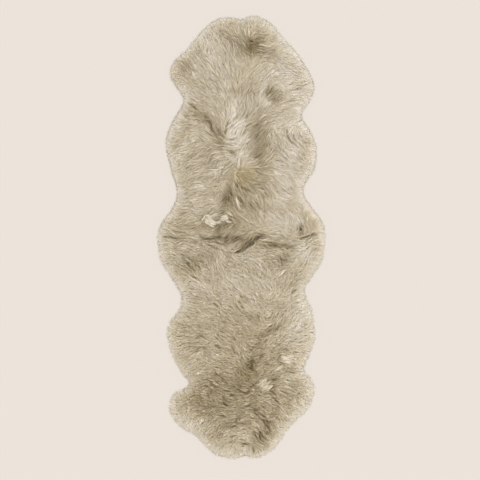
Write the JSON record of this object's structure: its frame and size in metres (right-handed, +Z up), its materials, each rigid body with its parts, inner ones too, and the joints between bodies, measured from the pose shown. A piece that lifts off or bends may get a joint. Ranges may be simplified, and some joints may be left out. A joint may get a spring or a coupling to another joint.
{
  "type": "double sheepskin throw",
  "caption": "Long wool-on sheepskin throw of two pelts sewn end to end, with a deep soft pile and a natural wavy outline.",
  "frame": {"origin": "on the floor under the middle of the seam, at the bottom centre of the box", "axes": "+Y from the seam along the upper pelt, +X along the seam to the right as seen from above, +Z up out of the wool"},
  "size_m": [0.6947, 1.8013, 0.0644],
  "materials": {
    "wool": "long undyed wool pile in warm greige, matt with a faint sheen",
    "hide": "cream suede skin side, brushed and matt"
  },
  "bodies": {
    "root": {"upper_pelt": "wool", "lower_pelt": "wool"}
  },
  "joints": []
}
